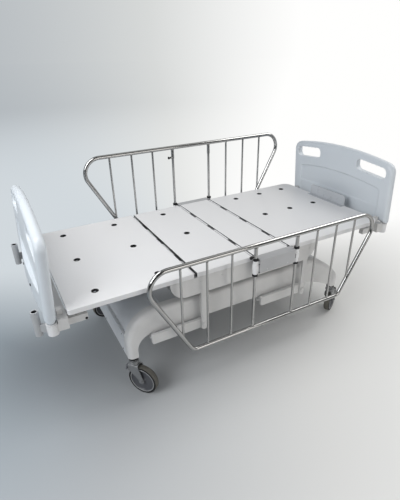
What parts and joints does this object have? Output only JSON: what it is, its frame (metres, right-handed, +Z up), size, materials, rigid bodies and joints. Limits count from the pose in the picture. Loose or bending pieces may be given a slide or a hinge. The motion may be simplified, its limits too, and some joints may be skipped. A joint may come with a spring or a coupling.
{
  "type": "pediatric hospital cot",
  "caption": "Hospital cot on casters with a folding deck, drop side rails, lift-off end boards and a hi-lo base.",
  "frame": {"origin": "on the floor under the middle of the cot", "axes": "+X towards the head end, +Y towards the far side, +Z up"},
  "size_m": [1.9661, 0.893, 0.957],
  "materials": {
    "deck_white": "glossy powder coat",
    "board_plastic": "smooth blow-moulded",
    "frame_grey": "satin powder coat",
    "cover_plastic": "satin moulded",
    "rail_steel": "polished",
    "bright_steel": "bright zinc",
    "black_rubber": "matte",
    "black_plastic": "matte",
    "actuator_plastic": "matte",
    "caster_metal": "satin",
    "wheel_plastic": "satin",
    "wheel_tread": "matte",
    "pedal_plastic": "matte"
  },
  "bodies": {
    "base": {"near_base_beam": "frame_grey", "far_base_beam": "frame_grey", "foot_end_cover": "cover_plastic", "head_end_cover": "cover_plastic", "base_cross_tubes": "frame_grey", "caster_stems": "bright_steel", "lift_actuator_body": "actuator_plastic"},
    "foot_arms": {"foot_lift_arms": "frame_grey"},
    "head_arms": {"head_lift_arms": "frame_grey"},
    "lift_rod": {"lift_actuator_rod": "bright_steel"},
    "upper_frame": {"frame_tubes": "frame_grey", "frame_end_beams": "frame_grey", "board_post_sockets": "deck_white", "frame_side_plates": "frame_grey", "frame_hangers": "frame_grey", "pole_sockets": "caster_metal", "lift_pivot_bolts": "bright_steel", "seat_section_panel": "deck_white", "seat_side_boxes": "deck_white", "rail_sleeves": "deck_white", "rail_bushings": "black_plastic", "deck_buffers": "black_rubber", "thigh_hinge_rod": "bright_steel", "back_hinge_rod": "bright_steel", "back_actuator_body": "actuator_plastic"},
    "thigh_section": {"thigh_section_panel": "deck_white", "thigh_section_grommets": "black_rubber", "knee_hinge_rod": "bright_steel"},
    "leg_section": {"leg_section_panel": "deck_white", "leg_section_grommets": "black_rubber"},
    "back_section": {"back_section_panel": "deck_white", "back_section_grommets": "black_rubber", "mattress_stop": "frame_grey"},
    "back_rod": {"back_actuator_rod": "bright_steel"},
    "near_rail": {"near_rail_tube": "rail_steel", "near_rail_bars": "rail_steel", "near_rail_guide_rods": "rail_steel"},
    "near_latch": {"near_rail_latch": "black_plastic"},
    "far_rail": {"far_rail_tube": "rail_steel", "far_rail_bars": "rail_steel", "far_rail_guide_rods": "rail_steel"},
    "far_latch": {"far_rail_latch": "black_plastic"},
    "head_board": {"head_board": "board_plastic", "head_board_posts": "bright_steel"},
    "foot_board": {"foot_board": "board_plastic", "foot_board_posts": "bright_steel"},
    "near_foot_swivel": {"near_foot_caster_fork": "caster_metal"},
    "near_foot_wheel": {"near_foot_caster_wheel": "wheel_plastic", "near_foot_caster_tyre": "wheel_tread"},
    "near_head_swivel": {"near_head_caster_fork": "caster_metal"},
    "near_head_wheel": {"near_head_caster_wheel": "wheel_plastic", "near_head_caster_tyre": "wheel_tread"},
    "far_foot_swivel": {"far_foot_caster_fork": "caster_metal"},
    "far_foot_wheel": {"far_foot_caster_wheel": "wheel_plastic", "far_foot_caster_tyre": "wheel_tread"},
    "far_head_swivel": {"far_head_caster_fork": "caster_metal"},
    "far_head_wheel": {"far_head_caster_wheel": "wheel_plastic", "far_head_caster_tyre": "wheel_tread"},
    "near_foot_brake": {"near_foot_brake_pedal": "pedal_plastic"},
    "far_head_brake": {"far_head_brake_pedal": "pedal_plastic"}
  },
  "joints": [
    {"name": "lift_arms", "type": "hinge", "parent": "base", "child": "foot_arms", "pos_m": [-0.499, 0, 0.296], "axis": [0, -1, 0], "range_deg": [0, 60]},
    {"name": "head_lift_arms", "type": "hinge", "parent": "base", "child": "head_arms", "pos_m": [0.104, 0, 0.296], "axis": [0, -1, 0], "range_deg": [0, 60]},
    {"name": "frame_level", "type": "hinge", "parent": "foot_arms", "child": "upper_frame", "pos_m": [-0.259, 0, 0.296], "axis": [0, -1, 0], "range_deg": [-60, 0]},
    {"name": "lift_rod_slide", "type": "slide", "parent": "base", "child": "lift_rod", "axis": [1, 0, 0], "range_m": [-0.0605, 0]},
    {"name": "thigh_hinge", "type": "hinge", "parent": "upper_frame", "child": "thigh_section", "pos_m": [0.005, 0, 0.583], "axis": [0, 1, 0], "range_deg": [0, 30]},
    {"name": "knee_hinge", "type": "hinge", "parent": "thigh_section", "child": "leg_section", "pos_m": [-0.304, 0, 0.575], "axis": [0, 1, 0], "range_deg": [-46.3, 0]},
    {"name": "back_hinge", "type": "hinge", "parent": "upper_frame", "child": "back_section", "pos_m": [0.216, 0, 0.583], "axis": [0, -1, 0], "range_deg": [0, 70]},
    {"name": "back_rod_slide", "type": "slide", "parent": "upper_frame", "child": "back_rod", "axis": [1, 0, 0], "range_m": [0, 0.0805]},
    {"name": "near_rail_slide", "type": "slide", "parent": "upper_frame", "child": "near_rail", "axis": [0, 0, 1], "range_m": [0, 0.282]},
    {"name": "far_rail_slide", "type": "slide", "parent": "upper_frame", "child": "far_rail", "axis": [0, 0, 1], "range_m": [-0.282, 0]},
    {"name": "near_rail_release", "type": "slide", "parent": "near_rail", "child": "near_latch", "axis": [1, 0, 0], "range_m": [0, 0.008], "stiffness_N_per_m": 600, "springref_m": -0.004},
    {"name": "far_rail_release", "type": "slide", "parent": "far_rail", "child": "far_latch", "axis": [1, 0, 0], "range_m": [0, 0.008], "stiffness_N_per_m": 600, "springref_m": -0.004},
    {"name": "head_board_lift", "type": "slide", "parent": "upper_frame", "child": "head_board", "axis": [0, 0, 1], "range_m": [0, 0.2]},
    {"name": "foot_board_lift", "type": "slide", "parent": "upper_frame", "child": "foot_board", "axis": [0, 0, 1], "range_m": [0, 0.2]},
    {"name": "near_foot_swivel", "type": "hinge", "parent": "base", "child": "near_foot_swivel", "pos_m": [-0.605, -0.326, 0.178], "axis": [0, 0, 1], "continuous": true},
    {"name": "near_foot_roll", "type": "hinge", "parent": "near_foot_swivel", "child": "near_foot_wheel", "pos_m": [-0.57852, -0.36114, 0.075], "axis": [0.7986, 0.6018, 0], "continuous": true},
    {"name": "near_foot_brake_press", "type": "hinge", "parent": "near_foot_swivel", "child": "near_foot_brake", "pos_m": [-0.61222, -0.31642, 0.147], "axis": [-0.7986, -0.6018, 0], "range_deg": [0, 15]},
    {"name": "near_head_swivel", "type": "hinge", "parent": "base", "child": "near_head_swivel", "pos_m": [0.633, -0.326, 0.178], "axis": [0, 0, 1], "continuous": true},
    {"name": "near_head_roll", "type": "hinge", "parent": "near_head_swivel", "child": "near_head_wheel", "pos_m": [0.67185, -0.30534, 0.075], "axis": [-0.4695, 0.8829, 0], "continuous": true},
    {"name": "far_foot_swivel", "type": "hinge", "parent": "base", "child": "far_foot_swivel", "pos_m": [-0.605, 0.326, 0.178], "axis": [0, 0, 1], "continuous": true},
    {"name": "far_foot_roll", "type": "hinge", "parent": "far_foot_swivel", "child": "far_foot_wheel", "pos_m": [-0.56167, 0.33364, 0.075], "axis": [-0.1736, 0.9848, 0], "continuous": true},
    {"name": "far_head_swivel", "type": "hinge", "parent": "base", "child": "far_head_swivel", "pos_m": [0.633, 0.326, 0.178], "axis": [0, 0, 1], "continuous": true},
    {"name": "far_head_roll", "type": "hinge", "parent": "far_head_swivel", "child": "far_head_wheel", "pos_m": [0.67604, 0.33515, 0.075], "axis": [-0.2079, 0.9781, 0], "continuous": true},
    {"name": "far_head_brake_press", "type": "hinge", "parent": "far_head_swivel", "child": "far_head_brake", "pos_m": [0.62126, 0.3235, 0.147], "axis": [0.2079, -0.9781, 0], "range_deg": [0, 15]}
  ],
  "couplings": [
    {"joint": "head_lift_arms", "follows": "lift_arms", "ratio": 1},
    {"joint": "frame_level", "follows": "lift_arms", "ratio": -1},
    {"joint": "lift_rod_slide", "follows": "lift_arms", "m_per_rad": -0.057296},
    {"joint": "knee_hinge", "follows": "thigh_hinge", "ratio": -1.54},
    {"joint": "back_rod_slide", "follows": "back_hinge", "m_per_rad": 0.065727}
  ]
}
